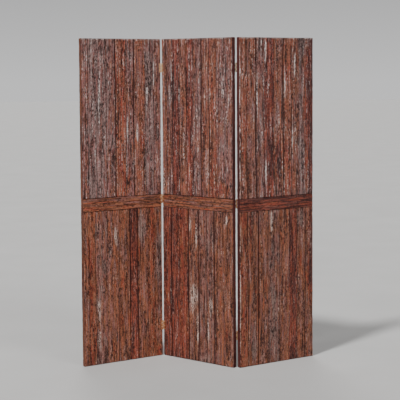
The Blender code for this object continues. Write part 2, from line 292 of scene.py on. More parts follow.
def wood_relief(across, along, seed, roughness):
    """Depth of weathered wood below its proudest fibres, how split it is, and how high it stands.

    The surface is a mass of long threads of several sizes, broken up into short dashes. Fine
    grooves and long checks split it along its grain, and thin layers have torn off in steps.
    Depths are in metres. The last value is 0 in the hollows and 1 on the crests.
    """
    def cells(width, length, number):
        """Noise with cells of this width and length, in millimetres."""
        return noise(across / (width * MM), along / (length * MM), seed + number)

    threads = sum(strength * cells(width, length, number)
                  for number, (strength, width, length) in enumerate(THREADS, 2))
    dashes = sum(strength * cells(width, length, number)
                 for number, (strength, width, length) in enumerate(DASHES, 6))
    rough_here = 0.45 + 0.55 * ramp(cells(20, 90, 5), -0.5, 0.5)
    grooves = 1 - ramp(np.abs(cells(7.5, 130, 8)), 0.0, 0.14)
    open_here = ramp(cells(20, 160, 10), 0.0, 0.4)
    split = (1 - ramp(np.abs(cells(13, 330, 9)), 0.0, 0.075)) * open_here
    height = threads + 1.3 * rough_here * dashes - 0.30 * grooves - 0.6 * split
    low, high = np.percentile(height, (3, 97))
    crest = np.clip((height - low) / (high - low), 0, 1)

    layers = 2.6 * layered(across / (11 * MM), along / (60 * MM), seed + 11)
    torn = np.floor(layers) + ramp(layers - np.floor(layers), 0.80, 1.0)
    depth = roughness * (CREST_DEPTH * (1 - crest) - LAYER_DEPTH * torn
                         - SWELL_DEPTH * cells(30, 120, 12) + SPLIT_DEPTH * split)
    return depth - np.percentile(depth, 1.0), split, crest


def mark_strength(marks, kind, across, along, seed):
    """How strongly marks of one kind show at each point, from 0 to 1, with ragged outlines."""
    total = 0.0 * across
    outline = 0.55 * layered(across / (9 * MM), along / (45 * MM), seed)
    for mark_kind, middle, up, half_width, half_height in marks:
        if mark_kind == kind:
            apart = np.hypot((across / MM - middle) / half_width, (along / MM - up) / half_height)
            total = np.maximum(total, ramp(outline - apart, -1.25, -0.35))
    return total


def toned(base, marks, across, along, seed):
    """Each point's place in the order of tones: the board's own, drawn towards its patches'."""
    tone = base + 0.0 * across
    for kind, place in TONE_PLACE.items():
        tone += (place - tone) * mark_strength(marks, kind, across, along, seed + 3)
    return tone


@dataclass
class Board:
    """One rough board: its place in its field's own coordinates, and its own character."""
    name: str
    left: Callable         # place of its left side at each point along it
    right: Callable        # place of its right side
    low: float             # where it starts and ends along its grain
    high: float
    back: float            # depth of its flat back
    proud: float           # depth of its highest fibres, below 0 in front of the panel's face
    tone: float
    marks: tuple
    roughness: float
    rounding: tuple        # how far its left and right edges are worn round
    end_wear: float
    top_highlight: float        # how pale its upper end is painted as a highlight, from 0 to 1
    painted_light_and_tone: float        # painted light of its panel with its own tone, from 0 to 1
    seats: tuple           # places of the hinge leaves that lie on it: (left, right, low, high)
    seed: int


def spread_columns(count):
    """Shares across a face from 0 to 1, closer together near both edges."""
    crowding = 0.20
    even = np.linspace(0, 1, count)
    return even - crowding * np.sin(2 * math.pi * even) / (2 * math.pi)


def worn_drop(from_edge, radius):
    """How far a face falls away near a worn edge: a quarter round as wide as its radius."""
    turn = np.clip(1 - from_edge / radius, 0, 0.98)
    return 0.8 * radius * (1 - np.sqrt(1 - turn ** 2))


def flattened(surface, seats, across, along):
    """The face with the wood under each hinge leaf cut down to a flat seat."""
    edge, level = 1.2 * MM, -0.1 * MM
    for left, right, low, high in seats:
        inside = np.minimum(np.minimum(across - left, right - across),
                            np.minimum(along - low, high - along))
        share = ramp(inside, -2 * edge, -0.5 * edge)
        surface = surface + share * (np.maximum(surface, level) - surface)
    return surface


def side_rings(board, edge, surface, height, along):
    """Points from the flat back up one side of a board, to just below its face."""
    rings = []
    for step in (0.0, 0.35, 0.7):
        wobble = 0.35 * MM * step * noise(along / (9 * MM), along * 0 + 7 * step, board.seed + 13)
        depth = board.back + (surface - board.back) * step
        rings.append(np.stack([edge + wobble, depth, height], -1))
    return rings


def board_grid(board):
    """Places of the points on a board's face: along it, its two sides there, and across it."""
    rows = int((board.high - board.low) / STEP_ALONG) + 1
    along = np.linspace(board.low, board.high, rows)[:, None]
    left, right = board.left(along), board.right(along)
    columns = max(int(float(np.mean(right - left)) / STEP_ACROSS), 8) + 1
    share = spread_columns(columns)[None, :]
    return along, left, right, share, left + (right - left) * share


def worn_ends(board, along, grain_across, from_end):
    """Heights of a face's points, its two ends drawn in along single fibres."""
    splinters = noise(grain_across / (4 * MM), grain_across * 0 + 3.5, board.seed + 12)
    pull = np.where(along * 2 < board.low + board.high, 1, -1) * board.end_wear
    near_end = ramp(1 - from_end / (3 * STEP_ALONG), 0.0, 1.0)
    return along + pull * (0.5 + 0.5 * splinters) * near_end


def painted_top_highlight(board, across, along):
    """How pale a board's upper end is painted, in patches: a painted highlight where its end catches the light."""
    patchy = 0.6 + 0.4 * noise(across / (6 * MM), along * 0 + 5.5, board.seed + 42)
    return board.top_highlight * patchy * ramp(1 - (board.high - along) / (8 * MM), 0.0, 0.5)


def rough_board(board, material, matrix):
    """A split, weathered board as one closed mesh: a flat back, ragged sides and a rough face."""
    along, left, right, share, across = board_grid(board)
    along_all = along + 0 * across
    knots = [(x * MM, z * MM, r * MM) for kind, x, z, r, _ in board.marks if kind == "knot"]
    grain_across, grain_along, eye = grain_space(across, along_all, board.seed, knots)
    depth, split, crest = wood_relief(grain_across, grain_along, board.seed, board.roughness)
    shade = mark_strength(board.marks, "shade", across, along_all, board.seed + 40)
    bleach = mark_strength(board.marks, "bleach", across, along_all, board.seed + 41)
    depth = depth * (1 + 0.35 * bleach) + SHADE_DEPTH * shade - KNOT_RISE * eye

    ragged = 1 + 0.45 * noise(along / (35 * MM), share * 3, board.seed + 11)
    from_end = np.minimum(along - board.low, board.high - along) + 0 * across
    drop = (worn_drop(across - left, board.rounding[0] * ragged)
            + worn_drop(right - across, board.rounding[1] * ragged)
            + END_DROP * np.clip(1 - from_end / (3 * MM), 0, 1) ** 2)
    surface = np.minimum(board.proud + depth + drop, board.back - 0.5 * MM)
    surface = flattened(surface, board.seats, across, along_all)
    height = worn_ends(board, along, grain_across, from_end)

    face = np.stack([across, surface, height], -1)
    left_side = side_rings(board, left, surface[:, :1], height[:, :1], along)
    right_side = side_rings(board, right, surface[:, -1:], height[:, -1:], along)
    rings = np.concatenate(left_side + [face] + right_side[::-1], 1)

    # Painted shade in the splits, in the shade marks and along the sides, in the seams between boards
    side_shade = (0.4 + 0.4 * ragged) * np.exp(-np.minimum(across - left, right - across) / SIDE_SHADE_WIDTH)
    crevice_shade = np.maximum(np.maximum(split, 0.8 * shade), 0.75 * side_shade)
    tone = toned(board.tone, board.marks, across, along_all, board.seed + 50)
    margin = ((0, 0), (len(left_side), len(right_side)))
    crevice_shade, tone, grain_across, grain_along = (
        np.pad(values, margin, mode="edge") for values in (crevice_shade, tone, grain_across, grain_along))
    attributes = {
        # The sides get a low relief and the worn-round edges a lower one, so the material paints them darker as
        # painted shade
        "relief": np.pad(np.clip(crest - drop / (2.5 * MM), 0, 1), margin, constant_values=0.15),
        "crevice_shade": crevice_shade,
        # The bleach attribute also carries the painted highlight at the board's upper end
        "bleach": np.pad(np.maximum(bleach, painted_top_highlight(board, across, along)), margin),
        "tone": tone,
        "eye": np.pad(eye, margin),
        "panel_light_and_tone": np.full(rings.shape[:2], board.painted_light_and_tone),
        "grain": np.stack([grain_across, rings[..., 1], grain_along], -1),
    }
    return grid_object(board.name, rings, attributes, matrix, material)


# -------- materials

class Nodes:
    """A short way to add and link a material's nodes."""

    def __init__(self, name, rough, metallic=0.0):
        self.material = bpy.data.materials.new(name)
        self.material.use_nodes = True
        self.tree = self.material.node_tree
        self.shader = self.tree.nodes["Principled BSDF"]
        self.shader.inputs["Roughness"].default_value = rough
        self.shader.inputs["Metallic"].default_value = metallic
        self.shader.inputs["Specular IOR Level"].default_value = 0.5 if metallic else 0.25

    def add(self, kind, inputs=None, **settings):
        node = self.tree.nodes.new(kind)
        for key, value in settings.items():
            setattr(node, key, value)
        for key, value in (inputs or {}).items():
            self.put(node.inputs[key], value)
        return node

    def put(self, socket, value):
        if isinstance(value, bpy.types.NodeSocket):
            self.tree.links.new(value, socket)
        else:
            socket.default_value = value

    def attribute(self, name, output="Fac"):
        """What the mesh says of each point under this name."""
        return self.add("ShaderNodeAttribute", attribute_name=name).outputs[output]

    def maths(self, operation, first, second, clamp=False):
        return self.add("ShaderNodeMath", {0: first, 1: second}, operation=operation,
                        use_clamp=clamp).outputs[0]

    def plus(self, first, second):
        return self.maths("ADD", first, second)

    def times(self, first, second):
        return self.maths("MULTIPLY", first, second)

    def larger(self, first, second):
        return self.maths("MAXIMUM", first, second)

    def fit(self, value, low, high, to_low=0.0, to_high=1.0):
        inputs = {"Value": value, "From Min": low, "From Max": high,
                  "To Min": to_low, "To Max": to_high}
        return self.add("ShaderNodeMapRange", inputs).outputs["Result"]

    def spread(self, value, to_low, to_high):
        """A noise, which mostly lies from 0.3 to 0.7, fitted to another range."""
        return self.fit(value, 0.3, 0.7, to_low, to_high)

    def noise(self, vector, scale, detail, rough, stretch=(1, 1, 1)):
        placed = self.add("ShaderNodeMapping", {"Vector": vector, "Scale": stretch}).outputs[0]
        inputs = {"Vector": placed, "Scale": scale, "Detail": detail, "Roughness": rough}
        return self.add("ShaderNodeTexNoise", inputs).outputs["Fac"]

    def colours(self, value, stops):
        node = self.add("ShaderNodeValToRGB", {"Fac": value})
        elements = node.color_ramp.elements
        while len(elements) < len(stops):
            elements.new(0.5)
        for element, (place, colour) in zip(elements, stops):
            element.position = place
            element.color = (*colour, 1.0)
        return node.outputs["Color"]

    def mix(self, share, first, second):
        node = self.add("ShaderNodeMix", data_type="RGBA")
        self.put(node.inputs["Factor"], share)
        for socket, value in ((node.inputs[6], first), (node.inputs[7], second)):
            self.put(socket, (*value, 1.0) if isinstance(value, tuple) else value)
        return node.outputs[2]

    def scaled(self, colour, factor):
        node = self.add("ShaderNodeVectorMath", {0: colour, "Scale": factor}, operation="SCALE")
        return node.outputs[0]

    def finish(self, colour, rough=None, height=None, distance=0.0, strength=1.0):
        """The finished material. Its bumps are as deep as distance where height goes from 0 to 1."""
        self.put(self.shader.inputs["Base Color"], colour)
        if rough is not None:
            self.put(self.shader.inputs["Roughness"], rough)
        if height is not None:
            inputs = {"Height": height, "Strength": strength, "Distance": distance}
            bump = self.add("ShaderNodeBump", inputs)
            self.put(self.shader.inputs["Normal"], bump.outputs["Normal"])
        return self.material


class WoodNodes(Nodes):
    """Nodes for wood, with noises that follow the grain in a board's mesh."""

    def __init__(self, name):
        super().__init__(name, 0.7)
        self.grain = self.attribute("grain", "Vector")

    def cells(self, key):
        *stretch, detail, rough = GRAIN_NOISES[key]
        return self.noise(self.grain, 1.0, detail, rough, stretch)


def stained(n, palette):
    """The stain's colour: that of each board's tone, with broad and narrow changes of hue."""
    broad = n.spread(n.cells("broad"), -0.16, 0.18)
    hues = n.spread(n.cells("hues"), -0.32, 0.32)
    place = n.plus(n.plus(n.attribute("tone"), broad), hues)
    last = len(palette) - 1
    return n.colours(place, [(index / last, shade) for index, shade in enumerate(palette)])


def pale_wear_and_sheen(n, height, fibre, pale_share):
    """How pale the wood is: worn in flakes on its ridges, partly as painted sheen, in a board's marks with the
    painted highlight at its upper end, and in painted glints on its proudest crests.
    """
    patch = n.fit(n.cells("patch"), 0.36, 0.62)
    ridges = n.fit(n.cells("ridges"), 0.50, 0.62)
    flakes = n.fit(n.plus(n.cells("flakes"), n.times(fibre, 0.07)), 0.50, 0.55)
    anywhere = n.times(n.times(patch, pale_share), n.times(ridges, flakes))
    marked = n.times(n.attribute("bleach"), n.fit(flakes, 0.0, 1.0, 0.40, 1.0))
    proud, proudest = n.fit(height, 0.22, 0.55), n.fit(height, 0.35, 0.75)
    wear = n.maths("MULTIPLY", proud, n.plus(anywhere, marked), clamp=True)
    # Painted glints: pale specks on the proudest crests
    painted_glints = n.fit(n.cells("painted_glints"), 0.60, 0.68, 0.0, 0.6 * pale_share)
    return n.larger(wear, n.times(proudest, painted_glints))


def weathered_wood(name, palette, pale, pale_share, deep, hollow_shade_share=0.85):
    """Rough old stained wood: streaked along its grain, with painted shade in its hollows, seams and sides,
    painted light on its crests, and pale where worn and as painted sheen.

    The palette's colours are spread evenly over the boards' tones.
    """
    n = WoodNodes(name)
    streaks, specks = n.cells("streaks"), n.cells("specks")
    fibre = n.spread(n.cells("fibre"), -1.0, 1.0)
    fine = n.times(fibre, 0.22)
    height = n.plus(n.plus(n.attribute("relief"), n.spread(specks, -0.44, 0.44)), fine)

    # Painted light and shade: each panel's painted light with the board's tone, lighter on the crests and darker
    # in the hollows
    board_light = n.fit(n.attribute("panel_light_and_tone"), 0.0, 1.0, 0.80, 1.20)
    light = n.times(board_light, n.fit(height, 0.05, 1.0, 0.40, 1.80))
    colour = n.scaled(stained(n, palette), light)
    # Painted shade: the hollows, splits, shade marks and sides are drawn towards the deep colour
    hollow = n.larger(n.fit(height, 0.17, 0.00), n.fit(n.attribute("crevice_shade"), 0.15, 0.85))
    colour = n.mix(n.times(hollow, hollow_shade_share), colour, deep)
    colour = n.mix(pale_wear_and_sheen(n, height, fibre, pale_share), colour, pale)

    eye = n.attribute("eye")
    rings = n.fit(n.maths("PINGPONG", n.times(eye, 3.2), 0.5), 0.1, 0.4, 0.3, 1.0)
    colour = n.mix(n.times(n.fit(eye, 0.05, 0.5), rings), colour, KNOT_COLOUR)
    bumps = n.plus(n.plus(streaks, n.times(specks, 0.6)), fine)
    return n.finish(colour, n.spread(streaks, 0.48, 0.78), bumps, BUMP_DEPTH)


def brass(name):
    """Satin brass that has browned, more on some hinges than on others, and is painted brighter on the top hinges
    as a highlight.
    """
    n = Nodes(name, 0.3, 1.0)
    place = n.add("ShaderNodeTexCoord").outputs["Object"]
    cloud = n.noise(place, 120.0, 3.0, 0.5)
    scratch = n.noise(place, 1.0, 3.0, 0.6, (2600, 2600, 240))
    worn = n.maths("SUBTRACT", cloud, n.times(n.attribute("tarnish_and_highlight"), 0.22))
    colour = n.colours(worn, [(0.22, (0.36, 0.13, 0.06)), (0.40, (0.80, 0.45, 0.22)),
                              (0.60, (0.98, 0.78, 0.54))])
    rough = n.fit(worn, 0.2, 0.7, 0.52, 0.28)
    return n.finish(colour, rough, scratch, 0.02 * MM, 0.4)


def plain_floor(name):
    """Pale matte floor with the faintest mottling."""
    n = Nodes(name, 0.75)
    place = n.add("ShaderNodeTexCoord").outputs["Object"]
    cloud = n.noise(place, 2.0, 3.0, 0.5)
    return n.finish(n.colours(cloud, [(0.3, (0.455, 0.448, 0.438)), (0.7, (0.485, 0.478, 0.468))]))


def greyed(colour, share):
    """A colour drawn towards a slightly violet grey of its own brightness."""
    grey = sum(weight * part for weight, part in zip((0.3, 0.55, 0.15), colour))
    return tuple(part + (grey * tint - part) * share for part, tint in zip(colour, (1.15, 0.96, 1.0)))


def tinted(colour, tint):
    """A colour with each of its parts scaled by the tint's."""
    return tuple(part * share for part, share in zip(colour, tint))


def make_materials():
    """Every material by its name. The woods differ in palette, in wear and painted sheen, and in the painted shade
    of their hollows.
    """
    lower = [tinted(stain, (1.03, 0.95, 0.93)) for stain in STAINS.values()]
    # The upper staves' palette is greyed and bluer: painted sheen of the light from above
    upper = [tinted(greyed(stain, 0.04), (1.10, 1.00, 1.05)) for stain in STAINS.values()]
    framing = [(0.16, 0.055, 0.026), (0.075, 0.011, 0.012)]
    # The colours of painted shade in each wood's hollows, seams and splits
    maroon, brown, frame_hollow_shade = (0.026, 0.0075, 0.0065), (0.020, 0.010, 0.009), (0.026, 0.005, 0.005)
    woods = {
        # The upper staves' paler, wider wear is partly real wear, partly painted sheen of the light from above
        "upper_staves": (upper, (0.78, 0.70, 0.66), 0.80, brown),
        "lower_staves": (lower, (0.66, 0.52, 0.45), 0.5, maroon),
        "band_wood": (lower, (0.40, 0.26, 0.20), 0.4, maroon, 0.55),
        "frame_wood": (framing, (0.24, 0.12, 0.08), 0.15, frame_hollow_shade),
        "plywood": (framing, (0.10, 0.05, 0.04), 0.10, frame_hollow_shade),
    }
    materials = {name: weathered_wood(name, *look) for name, look in woods.items()}
    return materials | {"brass": brass("brass"), "floor": plain_floor("floor")}


# -------- places on the screen

def centre_of(node):
    low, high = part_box(node)
    return (Vector(low) + Vector(high)) / 2


def panel_matrix(panel):
    """World place of a panel's own coordinates: X across from its left edge, Y in from its face."""
    left, right = centre_of(f"{panel}_left_stile"), centre_of(f"{panel}_right_stile")
    turn = math.atan2(right.y - left.y, right.x - left.x)
    middle = (left + right) / 2
    middle.z = 0.0
    return Matrix.Translation(middle) @ Matrix.Rotation(turn, 4, "Z")


def node_points(node, matrix):
    """A CAD node's vertices in other coordinates."""
    mesh = frame["nodes"][node].data
    points = np.empty(len(mesh.vertices) * 3)
    mesh.vertices.foreach_get("co", points)
    points = np.c_[points.reshape(-1, 3), np.ones(len(mesh.vertices))]
    return (points @ np.array(matrix.inverted()).T)[:, :3]


class Face:
    """One face of a panel: X across it from its left edge, Y into the panel, Z up."""

    def __init__(self, panel, side):
        middle = panel_matrix(panel)
        skins = np.concatenate([node_points(f"{panel}_{s}_upper_staves", middle) for s in SIDES])
        low, high = skins.min(0), skins.max(0)
        self.width = high[0] - low[0]
        corner = Matrix.Translation((low[0], low[1], 0.0))
        if side == "back":
            corner = Matrix.Translation((high[0], high[1], 0.0)) @ Matrix.Rotation(math.pi, 4, "Z")
        self.matrix = middle @ corner
        self.panel = panel

    def span(self, node):
        points = node_points(node, self.matrix)
        return points.min(0), points.max(0)

    def seams(self, node, axis):
        """Places of the V-shaped seams between the strips of a CAD field, with both its ends."""
        points = node_points(node, self.matrix)
        back = points[:, 1].max()
        # Their bottoms lie neither on the face nor on the back
        deep = points[(points[:, 1] > 2 * MM) & (points[:, 1] < back - 0.5 * MM)]
        places = sorted(set(np.round(deep[:, axis], 5)))
        return [points[:, axis].min()] + places + [points[:, axis].max()]


# -------- cladding

def seam_line(place, seed, wander):
    """The middle of a seam as a function of the place along it."""
    def line(along):
        return (place + wander * noise(along / 0.42, along * 0 + 0.3, seed)
                + 0.28 * wander * noise(along / 0.09, along * 0 + 1.3, seed + 1))
    return line


def board_edge(line, gap, seed, inward):
    """A board's side: half a gap from the seam's middle, with its own small raggedness."""
    def edge(along):
        ragged = (0.75 * MM * noise(along / 0.060, along * 0 + 0.7, seed)
                  + 0.40 * MM * noise(along / 0.013, along * 0 + 1.7, seed + 1))
        return line(along) + inward * np.maximum(gap + ragged, 0.15 * MM)
    return edge


def hinge_seats(face):
    """Where hinge leaves lie on this face of a panel, as (left, right, low, high)."""
    seats = []
    for node in frame["record"]["behaviour"]["bodies"][f"{face.panel}_panel"]:
        if node.endswith("_leaf"):
            low, high = face.span(node)
            if low[1] < 0:
                seats.append((max(low[0], 0.0), min(high[0], face.width), low[2], high[2]))
    return tuple(seats)


def random_marks(draw, low, high):
    """Marks for a field that has none of its own, spread over it by chance."""
    marks = []
    for kind in BACK_MARKS:
        half_width, half_height = draw.uniform(9, 30), draw.uniform(40, 180)
        if kind in ("bleach", "shade"):
            half_width, half_height = draw.uniform(4, 9), draw.uniform(50, 200)
        if kind == "knot":
            half_width = half_height = draw.uniform(6, 10)
        marks.append((kind, draw.uniform(15, 493), draw.uniform(low, high) / MM,
                      half_width, half_height))
    return tuple(marks)


def field_character(node, count, low, high, draw):
    """The tones, marks and open seams of a field: its own on the front, by chance on the back."""
    field = node.removesuffix("_staves")
    if field in FRONT_FIELDS:
        letters, open_seams, marks = FRONT_FIELDS[field]
        return [LETTER_PLACE[letter] for letter in letters], marks, open_seams
    tones = [TONE_PLACE[draw.choice(("orange", "red", "brown", "brown", "mauve", "mauve", "grey"))]
             for _ in range(count)]
    return tones, random_marks(draw, low, high), (draw.uniform(60, 450), draw.uniform(60, 450))


def painted_light_and_tone(face, seed):
    """How light a board is painted: by its panel as painted light, and a little by chance as its own tone, from 0
    to 1.
    """
    return 0.5 + PANEL_PAINTED_LIGHT[face.panel] + 0.25 * ((seed % 101) / 100 - 0.5)


def stave_seam(place, outer, wide, draw):
    """A seam beside a stave: its line, half its gap, and how far its edges are worn round."""
    line = seam_line(place, draw.randrange(SEEDS), 0.5 * MM if outer else 3.2 * MM)
    if outer:
        return line, 0.4 * MM, 0.9 * MM
    if wide:
        return line, 1.6 * MM, 4.2 * MM
    return line, draw.uniform(0.2, 0.7) * MM, draw.uniform(1.3, 2.5) * MM


def stave_boards(face, node):
    """The separate upright boards that take the place of one CAD field of staves."""
    low, high = face.span(node)
    at_top = node.endswith("_upper_staves")
    draw = random.Random(node)
    seats = hinge_seats(face)
    places = face.seams(node, 0)
    count = len(places) - 1
    tones, marks, open_seams = field_character(node, count, low[2], high[2], draw)
    seams = []
    for index, place in enumerate(places):
        wide = any(abs(place / MM - seam) < OPEN_SEAM_REACH for seam in open_seams)
        seams.append(stave_seam(place, index in (0, count), wide, draw))
    for index, (tone, left, right) in enumerate(zip(tones, seams, seams[1:])):
        seed = draw.randrange(SEEDS)
        yield Board(
            name=f"{node.removesuffix('s')}_{index + 1}",
            left=board_edge(left[0], left[1], seed + 20, 1),
            right=board_edge(right[0], right[1], seed + 21, -1),
            low=low[2] + draw.uniform(0.3, 0.9) * MM,
            high=high[2] - draw.uniform(-0.6, 1.2) * MM * at_top,
            back=high[1], proud=draw.uniform(-1.2, 0.3) * MM, tone=tone, marks=marks,
            roughness=draw.uniform(0.85, 1.15), rounding=(left[2], right[2]),
            end_wear=1.6 * MM, top_highlight=0.8 * at_top, painted_light_and_tone=painted_light_and_tone(face, seed),
            seats=seats, seed=seed)


def band_strips(face, node):
    """The strips of a middle band. Their own X runs down from the band's top edge."""
    low, high = face.span(node)
    draw = random.Random(node)
    places = [high[2] - place for place in reversed(face.seams(node, 2))]
    tone = TONE_PLACE["red" if node.startswith("right") else "brown"]
    lines = [seam_line(place, draw.randrange(SEEDS), 0.6 * MM) for place in places]
    seats = tuple((high[2] - seat_high, high[2] - seat_low, left, right)
                  for left, right, seat_low, seat_high in hinge_seats(face))
    for index, (left, right) in enumerate(zip(lines, lines[1:])):
        seed = draw.randrange(SEEDS)
        yield Board(
            name=f"{node}_strip_{index + 1}",
            left=board_edge(left, 0.4 * MM, seed + 20, 1),
            right=board_edge(right, 0.4 * MM, seed + 21, -1),
            low=low[0] + 0.4 * MM, high=high[0] - 0.4 * MM, back=high[1],
            proud=draw.uniform(-1.3, -0.2) * MM, tone=tone + draw.uniform(-0.05, 0.12), marks=(),
            roughness=0.6, rounding=(1.4 * MM, 1.4 * MM), end_wear=0.6 * MM, top_highlight=0.0,
            painted_light_and_tone=painted_light_and_tone(face, seed) + 0.1, seats=seats, seed=seed)


def clad_field(face, node, boards, matrix, materials, slot):
    """Put a field's separate boards in place of its one CAD node."""
    for board in boards:
        piece = rough_board(board, materials[slot], matrix)
        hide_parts(node)
        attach(piece, f"{face.panel}_panel")


def clad_panel(panel, materials):
    """All staves and band strips of a panel, on both its faces."""
    for side in SIDES:
        face = Face(panel, side)
        for slot in ("upper_staves", "lower_staves"):
            node = f"{panel}_{side}_{slot}"
            clad_field(face, node, stave_boards(face, node), face.matrix, materials, slot)
        node = f"{panel}_{side}_band"
        top = face.span(node)[1][2]
        matrix = face.matrix @ Matrix.Translation((0, 0, top)) @ LYING
        clad_field(face, node, band_strips(face, node), matrix, materials, "band_wood")


# -------- frame

def frame_board(node, face, slot, along_x, tone, materials, roughness=0.3,
                step=1.1 * STEP_ACROSS):
    """A sawn frame member in place of a CAD bar, with its corners eased and its grain raised."""
    low, high = face.span(node)
    seed = random.Random(node).randrange(SEEDS)
    across_axis, along_axis = (2, 0) if along_x else (0, 2)
    centre, half = (low + high) / 2, (high - low) / 2
    rows = int(2 * half[along_axis] / (1.5 * STEP_ALONG)) + 1
    along = np.linspace(-half[along_axis], half[along_axis], rows)[:, None]
    outline = rounded_outline(half[across_axis], half[1], 0.7 * MM, step)
    around = np.cumsum(np.r_[0, np.hypot(*np.diff(outline, axis=0).T)])[None, :]
    across, depth = outline[None, :, 0] + 0 * along, outline[None, :, 1] + 0 * along
    grain_across, grain_along, eye = grain_space(around + 0 * along, along + 0 * around, seed, ())
    sunk, split, crest = wood_relief(grain_across, grain_along, seed, roughness)
    sunk = np.minimum(sunk, 0.7 * MM)
    rings = np.stack([across * (1 - sunk / half[across_axis]), depth * (1 - sunk / half[1]),
                      along + 0 * across], -1)
    attributes = {
        "relief": crest, "crevice_shade": 0.5 * split, "bleach": 0 * sunk,
        "tone": tone + 0 * sunk, "eye": eye, "panel_light_and_tone": 0.5 + 0 * sunk,
        "grain": np.stack([grain_across, depth, grain_along], -1),
    }
    turn = Matrix.Translation(centre)
    if along_x:
        turn = turn @ LYING
    piece = grid_object(f"{node}_board", rings, attributes, face.matrix @ turn, materials[slot])
    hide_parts(node)
    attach(piece, f"{face.panel}_panel")


def rounded_outline(half_width, half_depth, radius, step):
    """A closed rectangle with round corners and points along its sides, starting at its left."""
    corners = [(-half_width, half_depth), (-half_width, -half_depth), (half_width, -half_depth),
               (half_width, half_depth)]
    points = []
    for index, (x, y) in enumerate(corners):
        before = math.pi / 2 * (index + 1)
        cx, cy = x - math.copysign(radius, x), y - math.copysign(radius, y)
        for part in range(4):
            angle = before + math.pi / 2 * (part / 3)
            points.append((cx + radius * math.cos(angle), cy + radius * math.sin(angle)))
        next_x, next_y = corners[(index + 1) % 4]
        side = math.hypot(next_x - x, next_y - y)
        length = side - 2 * radius
        start_x, start_y = points[-1]
        pieces = int(length / step)
        for part in range(1, pieces):
            share = length * part / pieces / side
            points.append((start_x + (next_x - x) * share, start_y + (next_y - y) * share))
    return np.array(points)


def build_frames(panel, materials):
    """Stiles and rails, darker as painted shade where a stile stands in a fold than at the screen's outer edge,
    and the two skins.
    """
    face = Face(panel, "front")
    for part in ("left_stile", "right_stile"):
        outer = part.startswith(panel)
        # Stiles in the folds take the dark end of the framing colours as painted shade
        frame_board(f"{panel}_{part}", face, "frame_wood", False, 0.1 if outer else 0.95, materials)
    for part in ("bottom_rail", "middle_rail", "top_rail"):
        frame_board(f"{panel}_{part}", face, "frame_wood", True, 0.7, materials)
    for side in SIDES:
        frame_board(f"{panel}_{side}_skin", face, "plywood", False, 0.8, materials, 0.12, SKIN_STEP)


# -------- hinges

def mesh_of(name, shape):
    mesh = bpy.data.meshes.new(name)
    shape.to_mesh(mesh)
    shape.free()
    return mesh


def block(name, low, high):
    shape = bmesh.new()
    bmesh.ops.create_cube(shape, size=1.0)
    size = [b - a for a, b in zip(low, high)]
    bmesh.ops.scale(shape, verts=shape.verts, vec=size)
    bmesh.ops.translate(shape, verts=shape.verts, vec=[(a + b) / 2 for a, b in zip(low, high)])
    return linked(name, mesh_of(name, shape))


def round_bar(name, low_radius, high_radius, length, matrix):
    shape = bmesh.new()
    bmesh.ops.create_cone(shape, cap_ends=True, segments=ROUND_STEPS, radius1=low_radius,
                          radius2=high_radius, depth=length, matrix=matrix)
    return linked(name, mesh_of(name, shape))


def combined(base, changes):
    """The base's mesh after unions and differences with other objects, which are removed."""
    for other, operation in changes:
        change = base.modifiers.new(other.name, "BOOLEAN")
        change.object, change.operation, change.solver = other, operation, "EXACT"
    graph = bpy.context.evaluated_depsgraph_get()
    mesh = bpy.data.meshes.new_from_object(base.evaluated_get(graph))
    for item in [base] + [other for other, _ in changes]:
        bpy.data.objects.remove(item, do_unlink=True)
    return mesh


def leaf_mesh(side, knuckles, length):
    """A hinge leaf about its pin's axis, as in the CAD but round. Its panel is on the +Y side."""
    high_y = PIN_OFFSET - LEAF_AIR
    low_x, high_x = sorted((0.0, side * LEAF_WIDTH))
    plate = block("plate", (low_x, high_y - LEAF_THICKNESS, 0.0), (high_x, high_y, length))
    middle = Matrix.Translation((0, 0, length / 2))
    changes = [(round_bar("barrel", KNUCKLE_RADIUS, KNUCKLE_RADIUS, length, middle), "UNION")]
    pitch, reach = length / KNUCKLE_COUNT, PIN_OFFSET + KNUCKLE_AIR
    for index in sorted(set(range(KNUCKLE_COUNT)) - set(knuckles)):
        low_z = index * pitch - (KNUCKLE_AIR / 2 if index else reach)
        high_z = (index + 1) * pitch + (reach if index == KNUCKLE_COUNT - 1 else KNUCKLE_AIR / 2)
        space = block(f"space_{index}", (-reach, -reach, low_z), (reach, reach, high_z))
        changes.append((space, "DIFFERENCE"))
    changes.append((round_bar("bore", BORE_RADIUS, BORE_RADIUS, 2 * length, middle), "DIFFERENCE"))
    for up in SCREW_HEIGHTS:
        inside = screw_place(side, up) @ Matrix.Translation((0, 0, -LEAF_THICKNESS / 2))
        sink = round_bar(f"sink_{up:.3f}", 1.0 * MM, 2.3 * MM, 1.5 * LEAF_THICKNESS, inside)
        changes.append((sink, "DIFFERENCE"))
    return combined(plate, changes)


def screw_place(side, up):
    """A screw's frame on a leaf: its Z comes out of the plate, away from the panel."""
    surface = PIN_OFFSET - LEAF_AIR - LEAF_THICKNESS
    lay = Matrix.Rotation(math.pi / 2, 4, "X")
    return Matrix.Translation((side * SCREW_ACROSS, surface, up)) @ lay


def turned_shape(profile, steps):
    """A round closed shape from a profile of (radius, height), in millimetres, about Z."""
    shape = bmesh.new()
    line = [shape.verts.new((radius * MM, 0, height * MM)) for radius, height in profile]
    edges = [shape.edges.new(pair) for pair in zip(line, line[1:])]
    bmesh.ops.spin(shape, geom=line + edges, cent=(0, 0, 0), axis=(0, 0, 1),
                   angle=2 * math.pi, steps=steps, use_merge=True)
    bmesh.ops.remove_doubles(shape, verts=shape.verts, dist=0.01 * MM)
    bmesh.ops.recalc_face_normals(shape, faces=shape.faces)
    return shape


